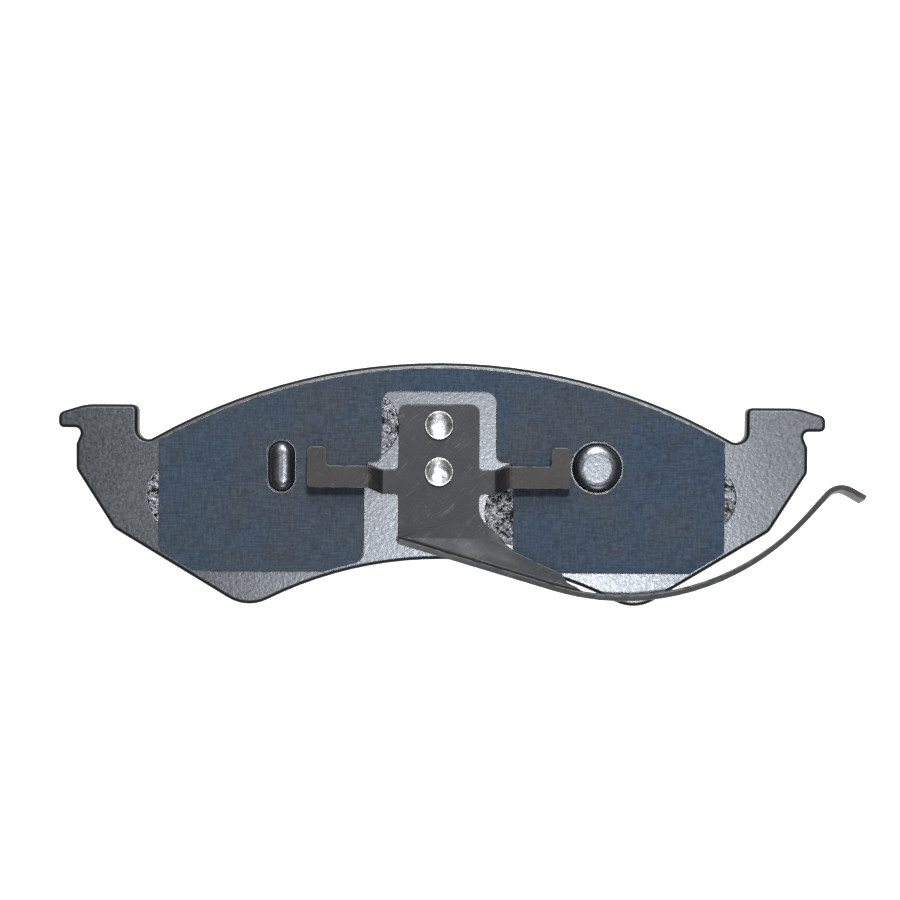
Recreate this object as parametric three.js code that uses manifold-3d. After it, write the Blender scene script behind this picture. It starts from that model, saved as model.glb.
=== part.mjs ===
// Outboard brake pad for a sliding-caliper disc brake, in millimetres.
// The pad lies friction face down: Z = 0 is the friction face and +Z is the caliper side.
// X = 0 is the pad's middle, and +Y points away from the wheel hub.

import * as THREE from 'three';
import { mergeVertices } from 'three/addons/utils/BufferGeometryUtils.js';
import Module from 'manifold-3d';

const wasm = await Module();
wasm.setup();

// ---------- stack, from the friction face up ----------
const FRICTION_THICKNESS = 9.5;
const UNDERLAYER_THICKNESS = 1.9;
const BOND_THICKNESS = 0.1;
const PLATE_THICKNESS = 5.5;
const SHIM_ADHESIVE = 0.1;
const SHIM_INNER_RUBBER = 0.1;
const SHIM_CORE = 0.5;
const SHIM_OUTER_RUBBER = 0.1;

// ---------- backing plate ----------
const PLATE_LENGTH = 190; // over the two hook tips
const PLATE_HEIGHT = 60; // lobe bottoms to crown
const CROWN_RADIUS = 144.5;
const ARCH_RISE = 11.3; // top of the lower arch above the lobe bottoms
const LOBE_RADIUS = 10;
const HOOK_REACH = 4.4; // hook tip beyond the abutment face
const HOOK_TOP = 19.3; // flat top of the ear
const HOOK_TIP_TOP = 17.2;
const HOOK_UNDERSIDE = 13.4;
const HOOK_TOP_FLAT = 12.8; // from the ear's inner side to where the top starts to fall
const EAR_WIDTH = 15.2; // inner side of the ear to the abutment face
const RELIEF_DEPTH = 1.7; // undercut in the corner under the hook, before its corner is rounded
const RELIEF_HEIGHT = 3.9;
const RELIEF_RADIUS = 1.4;
const ABUTMENT_BOTTOM = 3.2;
const SHOULDER_DROP = 14.7; // abutment face bottom to the ear's lower corner
const SHOULDER_INSET = 9.4;
const NOTCH_RADIUS = 2.5;

// ---------- holes and pressed bosses in the plate ----------
const KEY_HOLE_RADIUS = 8.4;
const KEY_HOLE_SPAN = 128.4; // between the two outer keying holes
const KEY_HOLE_OUTER_Y = -3.2;
const KEY_HOLE_INNER_X = 19.4;
const UPPER_KEY_HOLE_DROP = 15.5; // below the crown
const LOWER_KEY_HOLE_RISE = 11.9; // above the top of the arch
const BOSS_SPAN = 78;
const BOSS_OFFSET = -0.6; // middle of the pair
const BOSS_Y = 4.2;
const BOSS_HEIGHT = 3;
const BOSS_EDGE = 1.3; // rounding of the boss's rim
const ROUND_BOSS_DIAMETER = 11.8;
const OVAL_BOSS_WIDTH = 6.1;
const OVAL_BOSS_LENGTH = 12.1;
const POCKET_WALL = 1.2; // wall of a boss round the pocket that the press leaves behind it

// ---------- friction material ----------
const LINING_LENGTH = 149;
const LINING_MARGIN = 3; // inside the plate's edge
const SLOT_SPACING = 48;
const SLOT_WIDTH = 3;
const SLOT_DEPTH = 6.5;
const CHAMFER_LENGTH = 8;
const CHAMFER_DEPTH = 3;
const MOULD_GAP = 0.15; // round the plugs that fill the keying holes and pockets
const PLUG_RECESS = 0.4; // plug top below the plate's back face

// ---------- noise shim ----------
const SHIM_LENGTH = 140;
const SHIM_MARGIN = 1.2; // inside the plate's edge
const SHIM_LOBE_CLEARANCE = 8; // bottom edge above the lobe bottoms
const SHIM_BOSS_GAP = 0.55; // round the bosses
const WINDOW_GAP = 4.1; // beside the clip plate
const WINDOW_TOP_GAP = 3.2;
const WINDOW_LOWER_GAP = 8.4; // beside the clip plate, from the arms down
const WINDOW_STEP_GAP = 1.75; // above the arms' roots
const WINDOW_CORNER = 2.7;
const WINDOW_MOUTH_RADIUS = 3;

// ---------- spring clip, one stamping ----------
const SHEET = 1.4;
const CLIP_OFFSET = -0.7; // clip's middle from the pad's middle
const CLIP_DROP = 10.4; // clip's top edge below the crown
const CLIP_WIDTH = 20;
const CLIP_CORNER = 2;
const ARM_ROOT_DROP = 16.15; // arm's upper edge below the clip's top edge
const ARM_ROOT_WIDTH = 6.05;
const ARM_WIDTH = 5.45;
const ARM_SHIFT = 1; // raised part of the arm towards the crown
const ARM_REACH = 32.4; // from the clip's middle to the arm's end
const ARM_RISE_START = 4; // beside the clip plate
const ARM_RISE_LENGTH = 3.6;
const ARM_CLEARANCE = 3.3; // raised part of the arm above the shim
const TAB_WIDTH = 4.8;
const TAB_LENGTH = 4.65;
const TONGUE_NECK = 5.4; // below the arm's root, where the tongue starts to widen
const TONGUE_GRADE = 1.025; // fall of the tongue's edge per millimetre to the right
const TONGUE_CLEARANCE = 0.5; // joggled tongue above the shim
const JOGGLE_RUN = 3.2;
const FLANGE_HEIGHT = 5.4; // over the underside of the sheet
const FLANGE_ANGLE = 16.4; // degrees, falling towards the leg
const FLANGE_LEFT_DROP = 33.6; // flange's middle line at the clip's left side
const LEG_START = 38.3; // from the clip's left side to the end of the straight flange, along X
const LEG_RADIUS = 60.6;
const LEG_END_ANGLE = 48;
const LEG_STRAIGHT = 7.6;
const CREST_RADIUS = 4.2;
const TAIL_ANGLE = 29.5;
const TAIL_LENGTH = 4.2;
const LEG_TWIST = 12; // degrees at the tip, growing from nothing at the leg's start
const FLEX_GAP = 0.3; // where a bending piece is parted from the clip plate
const ARM_FLEX_X = 5.2; // flexure of the arm beside the clip plate
const LEG_FLEX_ANGLE = -5; // slope of the leg where it starts to bend

// ---------- rivets ----------
const RIVET_DROP = 5.1; // upper rivet below the clip's top edge
const RIVET_PITCH = 11.5;
const RIVET_SHANK_RADIUS = 2.5;
const RIVET_HEAD_RADIUS = 3.55;
const RIVET_HEAD_HEIGHT = 1.1;
const RIVET_DISH = 0.8;
const RIVET_CONE = 1.5; // countersunk end in the plate's front face
const RIVET_GAP = 0.15;

// ---------- drawing accuracy ----------
const CHORD_ERROR = 0.03;
const ROUND_SEGMENTS = 48;
const FAR = 400; // longer than any piece, for cutting tools

// ---------- derived heights ----------
const underlayerBottom = FRICTION_THICKNESS;
const bondBottom = underlayerBottom + UNDERLAYER_THICKNESS;
const plateBottom = bondBottom + BOND_THICKNESS;
const plateTop = plateBottom + PLATE_THICKNESS;
const innerRubberBottom = plateTop + SHIM_ADHESIVE;
const coreBottom = innerRubberBottom + SHIM_INNER_RUBBER;
const outerRubberBottom = coreBottom + SHIM_CORE;
const shimTop = outerRubberBottom + SHIM_OUTER_RUBBER;
const clipTop = plateTop + SHEET;

// ---------- derived places ----------
const hookTipX = PLATE_LENGTH / 2;
const abutmentX = hookTipX - HOOK_REACH;
const earInnerX = abutmentX - EAR_WIDTH;
const crownY = PLATE_HEIGHT / 2;
const lobeBottomY = -PLATE_HEIGHT / 2;
const arcCentreY = crownY - CROWN_RADIUS; // crown and arch are concentric
const archRadius = lobeBottomY + ARCH_RISE - arcCentreY;
const archTopY = arcCentreY + archRadius;
const clipY = crownY - CLIP_DROP;
const clipHalf = CLIP_WIDTH / 2;

const radians = THREE.MathUtils.degToRad;
const point = (x, y) => new THREE.Vector2(x, y);
const corner = (x, y, r = 0) => ({ x, y, r });

// Points along an arc whose chords stay within CHORD_ERROR of it.
function arc(cx, cy, r, from, to) {
  const step = 2 * Math.acos(1 - CHORD_ERROR / r);
  const count = Math.max(2, Math.ceil(Math.abs(to - from) / step));
  const points = [];
  for (let i = 0; i <= count; i += 1) {
    const angle = from + ((to - from) * i) / count;
    points.push(corner(cx + r * Math.cos(angle), cy + r * Math.sin(angle)));
  }
  return points;
}

// Turns a list of corners with radii into points, each rounding limited by its two sides.
function roundCorners(corners, closed = true) {
  const points = [];
  corners.forEach((c, i) => {
    const here = point(c.x, c.y);
    const isEnd = !closed && (i === 0 || i === corners.length - 1);
    if (!c.r || isEnd) {
      points.push(here);
      return;
    }
    const before = corners[(i - 1 + corners.length) % corners.length];
    const after = corners[(i + 1) % corners.length];
    const toBefore = point(before.x, before.y).sub(here);
    const toAfter = point(after.x, after.y).sub(here);
    const limit = 0.48 * Math.min(toBefore.length(), toAfter.length());
    toBefore.normalize();
    toAfter.normalize();
    const half = Math.acos(THREE.MathUtils.clamp(toBefore.dot(toAfter), -1, 1)) / 2;
    const tangent = Math.min(c.r / Math.tan(half), limit);
    const radius = tangent * Math.tan(half);
    const bisector = toBefore.clone().add(toAfter).normalize();
    const centre = here.clone().addScaledVector(bisector, radius / Math.sin(half));
    const start = here.clone().addScaledVector(toBefore, tangent).sub(centre);
    const end = here.clone().addScaledVector(toAfter, tangent).sub(centre);
    const sweep = Math.atan2(start.cross(end), start.dot(end));
    const from = start.angle();
    points.push(...arc(centre.x, centre.y, radius, from, from + sweep).map((p) => point(p.x, p.y)));
  });
  return points;
}

// Direction square to a middle line at one of its points, to the left of the way it runs.
function leftOf(middle, i) {
  const before = middle[Math.max(i - 1, 0)];
  const after = middle[Math.min(i + 1, middle.length - 1)];
  const along = after.clone().sub(before).normalize();
  return point(-along.y, along.x);
}

// The two sides of a strip of the given thickness round a middle line.
function stripOutline(middle, thickness) {
  const left = [];
  const right = [];
  middle.forEach((p, i) => {
    const side = leftOf(middle, i).multiplyScalar(thickness / 2);
    left.push(p.clone().add(side));
    right.push(p.clone().sub(side));
  });
  return [...left, ...right.reverse()];
}

function toManifold(geometry) {
  const bare = geometry.clone();
  bare.deleteAttribute('normal');
  bare.deleteAttribute('uv');
  const merged = mergeVertices(bare, 1e-4);
  const mesh = new wasm.Mesh({
    numProp: 3,
    vertProperties: new Float32Array(merged.attributes.position.array),
    triVerts: new Uint32Array(merged.index.array),
  });
  mesh.merge();
  return new wasm.Manifold(mesh);
}

function toGeometry(solid) {
  const mesh = solid.getMesh();
  const geometry = new THREE.BufferGeometry();
  geometry.setAttribute('position', new THREE.BufferAttribute(mesh.vertProperties, 3));
  geometry.setIndex(new THREE.BufferAttribute(mesh.triVerts, 1));
  const flat = geometry.toNonIndexed();
  flat.computeVertexNormals();
  return flat;
}

// A plate with the given outline between two heights.
function slab(points, bottom, top) {
  const geometry = new THREE.ExtrudeGeometry(new THREE.Shape(points), {
    depth: top - bottom,
    bevelEnabled: false,
  });
  return toManifold(geometry.translate(0, 0, bottom));
}

// A bar along Y whose outline is drawn in X and Z.
function barAlongY(points, fromY, toY) {
  const geometry = new THREE.ExtrudeGeometry(new THREE.Shape(points), {
    depth: toY - fromY,
    bevelEnabled: false,
  });
  return toManifold(geometry.rotateX(Math.PI / 2).translate(0, toY, 0));
}

// A bar along X whose outline is drawn in Y and Z.
function barAlongX(points, fromX, toX) {
  const geometry = new THREE.ExtrudeGeometry(new THREE.Shape(points), {
    depth: toX - fromX,
    bevelEnabled: false,
  });
  const turn = new THREE.Matrix4();
  turn.makeBasis(new THREE.Vector3(0, 1, 0), new THREE.Vector3(0, 0, 1), new THREE.Vector3(1, 0, 0));
  return toManifold(geometry.applyMatrix4(turn).translate(fromX, 0, 0));
}

function disc(x, y, radius, bottom, top) {
  const geometry = new THREE.CylinderGeometry(radius, radius, top - bottom, ROUND_SEGMENTS);
  return toManifold(geometry.rotateX(Math.PI / 2).translate(x, y, (bottom + top) / 2));
}

// A round-ended shape, or a circle where the length equals the width.
function obround(x, y, width, length) {
  const r = width / 2;
  const reach = (length - width) / 2;
  const shape = new THREE.Shape();
  shape.absarc(x, y + reach, r, 0, Math.PI, false);
  shape.absarc(x, y - reach, r, Math.PI, 2 * Math.PI, false);
  return shape;
}

function obroundSlab(x, y, width, length, bottom, top) {
  const geometry = new THREE.ExtrudeGeometry(obround(x, y, width, length), {
    depth: top - bottom,
    bevelEnabled: false,
    curveSegments: ROUND_SEGMENTS / 4,
  });
  return toManifold(geometry.translate(0, 0, bottom));
}

// ---------- backing plate ----------

// Middle of the right lobe's circle: it sits on the lobe bottom line and touches the arch.
const lobeCentreY = lobeBottomY + LOBE_RADIUS;
const lobeCentreX = Math.sqrt((archRadius + LOBE_RADIUS) ** 2 - (lobeCentreY - arcCentreY) ** 2);
const shoulder = point(abutmentX - SHOULDER_INSET, ABUTMENT_BOTTOM - SHOULDER_DROP);

// Direction in which the lobe's circle meets the line from the ear's lower corner.
const toShoulder = shoulder.clone().sub(point(lobeCentreX, lobeCentreY));
const lobeOuterAngle =
  Math.atan2(toShoulder.y, toShoulder.x) - Math.acos(LOBE_RADIUS / toShoulder.length());
const lobeInnerAngle = Math.atan2(arcCentreY - lobeCentreY, -lobeCentreX);
const archStartAngle = Math.atan2(lobeCentreY - arcCentreY, lobeCentreX);

// The lobe and the arch, from the outer tangent to the middle, this far inside the plate's edge.
function lowerEdge(margin) {
  return [
    ...arc(lobeCentreX, lobeCentreY, LOBE_RADIUS - margin, lobeOuterAngle, lobeInnerAngle),
    ...arc(0, arcCentreY, archRadius + margin, archStartAngle, Math.PI / 2).slice(1),
  ];
}

function mirrored(half) {
  const other = half.slice(1, -1).reverse().map((c) => corner(-c.x, c.y, c.r));
  return roundCorners([...half, ...other]);
}

function plateOutline() {
  const notchX = earInnerX - NOTCH_RADIUS;
  const notchY = arcCentreY + Math.sqrt((CROWN_RADIUS + NOTCH_RADIUS) ** 2 - notchX ** 2);
  const notchAngle = Math.atan2(notchY - arcCentreY, notchX);
  const reliefX = abutmentX - RELIEF_DEPTH;
  return mirrored([
    ...arc(0, arcCentreY, CROWN_RADIUS, Math.PI / 2, notchAngle),
    ...arc(notchX, notchY, NOTCH_RADIUS, notchAngle - Math.PI, 0).slice(1),
    corner(earInnerX, HOOK_TOP, 1.5),
    corner(earInnerX + HOOK_TOP_FLAT, HOOK_TOP, 14),
    corner(hookTipX, HOOK_TIP_TOP, 1.7),
    corner(hookTipX, HOOK_UNDERSIDE, 1.3),
    corner(reliefX, HOOK_UNDERSIDE, RELIEF_RADIUS),
    corner(abutmentX, HOOK_UNDERSIDE - RELIEF_HEIGHT, 1.5),
    corner(abutmentX, ABUTMENT_BOTTOM, 2),
    corner(shoulder.x, shoulder.y, 3.5),
    ...lowerEdge(0),
  ]);
}

const keyHoles = [
  point(-KEY_HOLE_SPAN / 2, KEY_HOLE_OUTER_Y),
  point(KEY_HOLE_SPAN / 2, KEY_HOLE_OUTER_Y),
  point(-KEY_HOLE_INNER_X, crownY - UPPER_KEY_HOLE_DROP),
  point(KEY_HOLE_INNER_X, archTopY + LOWER_KEY_HOLE_RISE),
];

const bosses = [
  { x: BOSS_OFFSET - BOSS_SPAN / 2, width: OVAL_BOSS_WIDTH, length: OVAL_BOSS_LENGTH },
  { x: BOSS_OFFSET + BOSS_SPAN / 2, width: ROUND_BOSS_DIAMETER, length: ROUND_BOSS_DIAMETER },
];

const rivetPlaces = [
  point(CLIP_OFFSET, clipY - RIVET_DROP),
  point(CLIP_OFFSET, clipY - RIVET_DROP - RIVET_PITCH),
];

// Pressed boss with a rounded rim; its root is sunk into the plate so that the two join.
function bossSolid({ x, width, length }) {
  const root = PLATE_THICKNESS / 2;
  const geometry = new THREE.ExtrudeGeometry(obround(x, BOSS_Y, width, length), {
    depth: BOSS_HEIGHT + root - 2 * BOSS_EDGE,
    bevelThickness: BOSS_EDGE,
    bevelSize: BOSS_EDGE,
    bevelOffset: -BOSS_EDGE,
    bevelSegments: 4,
    curveSegments: ROUND_SEGMENTS / 4,
  });
  return toManifold(geometry.translate(0, 0, plateTop - root + BOSS_EDGE));
}

// The pocket behind a boss, or the peg that fills it where a gap is given.
function pocketSolid({ x, width, length }, gap = 0) {
  const inset = 2 * (POCKET_WALL + gap);
  return obroundSlab(x, BOSS_Y, width - inset, length - inset, plateBottom, plateBottom + BOSS_HEIGHT - gap);
}

function rivetHole(place, bottom, top) {
  return disc(place.x, place.y, RIVET_SHANK_RADIUS + RIVET_GAP, bottom, top);
}

function countersink(place) {
  const r = RIVET_SHANK_RADIUS + RIVET_GAP;
  const geometry = new THREE.CylinderGeometry(r, r + RIVET_CONE, RIVET_CONE, ROUND_SEGMENTS);
  geometry.rotateX(Math.PI / 2).translate(place.x, place.y, plateBottom + RIVET_CONE / 2);
  return toManifold(geometry);
}

function backingPlate() {
  let plate = slab(plateOutline(), plateBottom, plateTop);
  for (const boss of bosses) {
    plate = plate.add(bossSolid(boss)).subtract(pocketSolid(boss));
  }
  for (const hole of keyHoles) {
    plate = plate.subtract(disc(hole.x, hole.y, KEY_HOLE_RADIUS, plateBottom, plateTop));
  }
  for (const place of rivetPlaces) {
    plate = plate.subtract(rivetHole(place, plateBottom, plateTop)).subtract(countersink(place));
  }
  return plate;
}

// ---------- friction material ----------

// Straight-ended outline that follows the plate's edge at a margin.
function innerOutline(margin, halfLength) {
  const crown = CROWN_RADIUS - margin;
  const endAngle = Math.acos(halfLength / crown);
  const lobe = LOBE_RADIUS - margin;
  const tangentX = lobeCentreX + lobe * Math.cos(lobeOuterAngle);
  const tangentY = lobeCentreY + lobe * Math.sin(lobeOuterAngle);
  const slope = -1 / Math.tan(lobeOuterAngle);
  return mirrored([
    ...arc(0, arcCentreY, crown, Math.PI / 2, endAngle),
    corner(halfLength, tangentY + slope * (halfLength - tangentX), 1.5),
    ...lowerEdge(margin),
  ]);
}

const liningOutline = () => innerOutline(LINING_MARGIN, LINING_LENGTH / 2);

function frictionBlock() {
  let block = slab(liningOutline(), 0, FRICTION_THICKNESS);
  for (const side of [-1, 1]) {
    const slotX = (side * SLOT_SPACING) / 2;
    const slot = [
      point(slotX - SLOT_WIDTH / 2, -1),
      point(slotX + SLOT_WIDTH / 2, -1),
      point(slotX + SLOT_WIDTH / 2, SLOT_DEPTH),
      point(slotX - SLOT_WIDTH / 2, SLOT_DEPTH),
    ];
    const endX = LINING_LENGTH / 2;
    const grade = CHAMFER_DEPTH / CHAMFER_LENGTH;
    const chamfer = [
      point(side * (endX - CHAMFER_LENGTH - 1 / grade), -1),
      point(side * (endX + 1), -1),
      point(side * (endX + 1), CHAMFER_DEPTH + grade),
    ];
    block = block.subtract(barAlongY(slot, -FAR, FAR)).subtract(barAlongY(chamfer, -FAR, FAR));
  }
  return block;
}

// Insulating layer moulded with the plugs and pegs that key it into the plate.
function underlayer() {
  const plugTop = plateTop - PLUG_RECESS;
  let layer = slab(liningOutline(), underlayerBottom, bondBottom);
  for (const hole of keyHoles) {
    layer = layer.add(disc(hole.x, hole.y, KEY_HOLE_RADIUS - MOULD_GAP, underlayerBottom, plugTop));
  }
  for (const boss of bosses) {
    const inset = 2 * (POCKET_WALL + MOULD_GAP);
    const pegTop = plateBottom + BOSS_HEIGHT - MOULD_GAP;
    const width = boss.width - inset;
    const length = boss.length - inset;
    layer = layer.add(obroundSlab(boss.x, BOSS_Y, width, length, underlayerBottom, pegTop));
  }
  return layer;
}

function bondFilm() {
  let film = slab(liningOutline(), bondBottom, plateBottom);
  for (const hole of keyHoles) {
    film = film.subtract(disc(hole.x, hole.y, KEY_HOLE_RADIUS, bondBottom, plateBottom));
  }
  for (const boss of bosses) {
    const width = boss.width - 2 * POCKET_WALL;
    const length = boss.length - 2 * POCKET_WALL;
    film = film.subtract(obroundSlab(boss.x, BOSS_Y, width, length, bondBottom, plateBottom));
  }
  return film;
}

// ---------- noise shim ----------

// One side of the window's mouth, rounded into the shim's edge along the arch.
function windowMouth(side) {
  const edgeRadius = archRadius + SHIM_MARGIN;
  const x = CLIP_OFFSET + side * (clipHalf + WINDOW_LOWER_GAP);
  const cx = x + side * WINDOW_MOUTH_RADIUS;
  const cy = arcCentreY + Math.sqrt((edgeRadius + WINDOW_MOUTH_RADIUS) ** 2 - cx ** 2);
  const inwards = Math.atan2(arcCentreY - cy, -cx);
  const from = side > 0 ? -Math.PI : 0;
  const points = arc(cx, cy, WINDOW_MOUTH_RADIUS, from, inwards);
  const end = points[points.length - 1];
  return [...points, corner(end.x, arcCentreY)];
}

function windowOutline() {
  const top = clipY + WINDOW_TOP_GAP;
  const step = clipY - ARM_ROOT_DROP + WINDOW_STEP_GAP;
  const upper = clipHalf + WINDOW_GAP;
  const lower = clipHalf + WINDOW_LOWER_GAP;
  return roundCorners([
    corner(CLIP_OFFSET + upper, top, WINDOW_CORNER),
    corner(CLIP_OFFSET + upper, step, 2),
    corner(CLIP_OFFSET + lower, step, 1.5),
    ...windowMouth(1),
    ...windowMouth(-1).reverse(),
    corner(CLIP_OFFSET - lower, step, 1.5),
    corner(CLIP_OFFSET - upper, step, 2),
    corner(CLIP_OFFSET - upper, top, WINDOW_CORNER),
  ]);
}

function shimLayer(bottom, top) {
  const lowest = lobeBottomY + SHIM_LOBE_CLEARANCE;
  const below = [point(-FAR, -FAR), point(FAR, -FAR), point(FAR, lowest), point(-FAR, lowest)];
  let layer = slab(innerOutline(SHIM_MARGIN, SHIM_LENGTH / 2), bottom, top);
  layer = layer.subtract(slab(below, bottom - 1, top + 1));
  layer = layer.subtract(slab(windowOutline(), bottom - 1, top + 1));
  for (const boss of bosses) {
    const width = boss.width + 2 * SHIM_BOSS_GAP;
    const length = boss.length + 2 * SHIM_BOSS_GAP;
    layer = layer.subtract(obroundSlab(boss.x, BOSS_Y, width, length, bottom - 1, top + 1));
  }
  return layer;
}

// ---------- spring clip ----------
// Clip outlines are drawn from the middle of its top edge and moved into place at the end.

const flangeLeft = point(-clipHalf, -FLANGE_LEFT_DROP);
const flangeFall = Math.tan(radians(FLANGE_ANGLE));
const legStart = point(-clipHalf + LEG_START, -FLANGE_LEFT_DROP - LEG_START * flangeFall);
const legCentre = point(
  legStart.x + LEG_RADIUS * Math.sin(radians(FLANGE_ANGLE)),
  legStart.y + LEG_RADIUS * Math.cos(radians(FLANGE_ANGLE)),
);

// Part of the leg's long curve between two slopes, given in degrees.
function legCurve(fromSlope, toSlope) {
  const from = radians(fromSlope - 90);
  const to = radians(toSlope - 90);
  return arc(legCentre.x, legCentre.y, LEG_RADIUS, from, to).map((c) => point(c.x, c.y));
}

const halfGapSlope = THREE.MathUtils.radToDeg(FLEX_GAP / 2 / LEG_RADIUS);

function flangeMiddleLine() {
  return [flangeLeft, ...legCurve(-FLANGE_ANGLE, LEG_FLEX_ANGLE - halfGapSlope)];
}

function legMiddleLine() {
  const curve = legCurve(LEG_FLEX_ANGLE + halfGapSlope, LEG_END_ANGLE);
  const rise = radians(LEG_END_ANGLE);
  const fall = radians(TAIL_ANGLE);
  const top = curve[curve.length - 1].clone();
  top.add(point(Math.cos(rise), Math.sin(rise)).multiplyScalar(LEG_STRAIGHT));
  const cx = top.x + CREST_RADIUS * Math.sin(rise);
  const cy = top.y - CREST_RADIUS * Math.cos(rise);
  const crest = arc(cx, cy, CREST_RADIUS, Math.PI / 2 + rise, Math.PI / 2 - fall);
  const end = crest[crest.length - 1];
  const tip = point(end.x + TAIL_LENGTH * Math.cos(fall), end.y - TAIL_LENGTH * Math.sin(fall));
  return [...curve, ...crest.map((c) => point(c.x, c.y)), tip];
}

// The joggle lifts the tongue clear of the shim before the tongue's edge crosses the window's edge.
const tongueLift = shimTop - plateTop + TONGUE_CLEARANCE;
const neckY = -ARM_ROOT_DROP - ARM_ROOT_WIDTH - TONGUE_NECK;
const joggleEnd = neckY - WINDOW_LOWER_GAP * TONGUE_GRADE;
const joggleStart = joggleEnd + JOGGLE_RUN;

// Part of a joggled layer of the given height, seen from above as the outline.
function joggled(points, height) {
  const underside = [
    point(FAR, plateTop),
    point(joggleStart, plateTop),
    point(joggleEnd, plateTop + tongueLift),
    point(-FAR, plateTop + tongueLift),
  ];
  const topside = underside.map((p) => point(p.x, p.y + height)).reverse();
  return barAlongX([...underside, ...topside], -FAR, FAR).intersect(slab(points, 0, FAR));
}

function sheetOutline() {
  const rootTop = -ARM_ROOT_DROP;
  const rootBottom = rootTop - ARM_ROOT_WIDTH;
  const rootEnd = clipHalf + ARM_RISE_START / 2;
  return roundCorners([
    corner(-rootEnd, rootTop),
    corner(-clipHalf, rootTop, 1.6),
    corner(-clipHalf, 0, CLIP_CORNER),
    corner(clipHalf, 0, CLIP_CORNER),
    corner(clipHalf, rootTop, 1.6),
    corner(rootEnd, rootTop),
    corner(rootEnd, rootBottom),
    corner(clipHalf, rootBottom, 1.2),
    corner(clipHalf, neckY, 5),
    corner(clipHalf + 8, neckY - 8 * TONGUE_GRADE, 6),
    corner(legStart.x + 2.2, rootBottom - 19.4, 0.5),
    corner(legStart.x + 3.4, rootBottom - 21.4, 1),
    corner(legStart.x + 9, legCentre.y - LEG_RADIUS + 0.6),
    corner(legStart.x, legStart.y),
    corner(flangeLeft.x, flangeLeft.y),
    corner(-clipHalf, rootBottom, 1.2),
    corner(-rootEnd, rootBottom),
  ]);
}

// Seen from above, drawn for the right arm.
function armOutline() {
  const rootTop = -ARM_ROOT_DROP;
  const rootBottom = rootTop - ARM_ROOT_WIDTH;
  const armTop = rootTop + ARM_SHIFT;
  const armBottom = armTop - ARM_WIDTH;
  const riseX = clipHalf + ARM_RISE_START;
  const tabTop = armTop + TAB_LENGTH;
  return roundCorners([
    corner(clipHalf - 1, rootTop),
    corner(riseX, rootTop, 1.5),
    corner(riseX + ARM_RISE_LENGTH, armTop, 1.5),
    corner(ARM_REACH - TAB_WIDTH, armTop, 0.8),
    corner(ARM_REACH - TAB_WIDTH, tabTop, 1.3),
    corner(ARM_REACH, tabTop, 1.3),
    corner(ARM_REACH, armBottom, 0.9),
    corner(riseX + ARM_RISE_LENGTH, armBottom, 1.5),
    corner(riseX, rootBottom, 1.5),
    corner(clipHalf - 1, rootBottom),
  ]);
}

// Seen from the side, drawn for the right arm: flat on the plate, then raised over the shim.
function armProfile() {
  const low = plateTop + SHEET / 2;
  const high = shimTop + ARM_CLEARANCE + SHEET / 2;
  const riseX = clipHalf + ARM_RISE_START;
  const middle = roundCorners(
    [
      corner(clipHalf - 1, low),
      corner(riseX + 0.4, low, 1.6),
      corner(riseX + ARM_RISE_LENGTH - 0.4, high, 1.6),
      corner(ARM_REACH + 1, high),
    ],
    false,
  );
  return stripOutline(middle, SHEET);
}

function wholeArm(side) {
  const raised = barAlongY(armProfile(), -FAR, FAR);
  const arm = raised.intersect(slab(armOutline(), 0, FAR));
  return side > 0 ? arm : arm.mirror([1, 0, 0]);
}

const armFlexX = clipHalf + ARM_FLEX_X;

function armRoot(side) {
  return wholeArm(side).trimByPlane([-side, 0, 0], -(armFlexX - FLEX_GAP / 2));
}

function clipArm(side) {
  return wholeArm(side).trimByPlane([side, 0, 0], armFlexX + FLEX_GAP / 2);
}

function clipPlate() {
  const sheet = joggled(sheetOutline(), SHEET);
  const flange = joggled(stripOutline(flangeMiddleLine(), SHEET), FLANGE_HEIGHT);
  let plate = sheet.add(flange).add(armRoot(-1)).add(armRoot(1));
  for (const place of rivetPlaces) {
    const local = point(place.x - CLIP_OFFSET, place.y - clipY);
    plate = plate.subtract(rivetHole(local, plateTop - 1, clipTop + 1));
  }
  return plate;
}

// Index of the point of a middle line that is nearest to a place.
function nearestIndex(middle, x, y) {
  const distances = middle.map((p) => Math.hypot(p.x - x, p.y - y));
  return distances.indexOf(Math.min(...distances));
}

// The strip leans further over towards its tip, as the spring is twisted.
function clipLeg() {
  const bottom = plateTop + tongueLift;
  const middle = legMiddleLine();
  const first = middle[0];
  const reach = middle[middle.length - 1].x - first.x;
  const strip = slab(stripOutline(middle, SHEET), bottom, bottom + FLANGE_HEIGHT);
  return strip.warp((vertex) => {
    const i = nearestIndex(middle, vertex[0], vertex[1]);
    const share = (middle[i].x - first.x) / reach;
    const rise = vertex[2] - bottom - FLANGE_HEIGHT / 2;
    const lean = rise * Math.tan(radians(LEG_TWIST) * share ** 2);
    const side = leftOf(middle, i);
    vertex[0] += side.x * lean;
    vertex[1] += side.y * lean;
  });
}

// ---------- rivets ----------

// Countersunk end, shank and a formed head with a conical dish.
function rivet() {
  const headTop = clipTop + RIVET_HEAD_HEIGHT;
  const shank = RIVET_SHANK_RADIUS;
  const profile = [
    point(0, plateBottom),
    point(shank + RIVET_CONE, plateBottom),
    point(shank, plateBottom + RIVET_CONE),
    point(shank, clipTop),
    point(RIVET_HEAD_RADIUS, clipTop),
    point(RIVET_HEAD_RADIUS, headTop - 0.4),
    point(RIVET_HEAD_RADIUS - 0.35, headTop),
    point(RIVET_HEAD_RADIUS - 0.75, headTop - 0.1),
    point(0, headTop - RIVET_DISH),
  ];
  const geometry = new THREE.LatheGeometry(profile, ROUND_SEGMENTS);
  return toManifold(geometry.rotateX(Math.PI / 2));
}

// ---------- assembly ----------

function material(colour, roughness, metalness) {
  return new THREE.MeshStandardMaterial({ color: colour, roughness, metalness });
}

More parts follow.
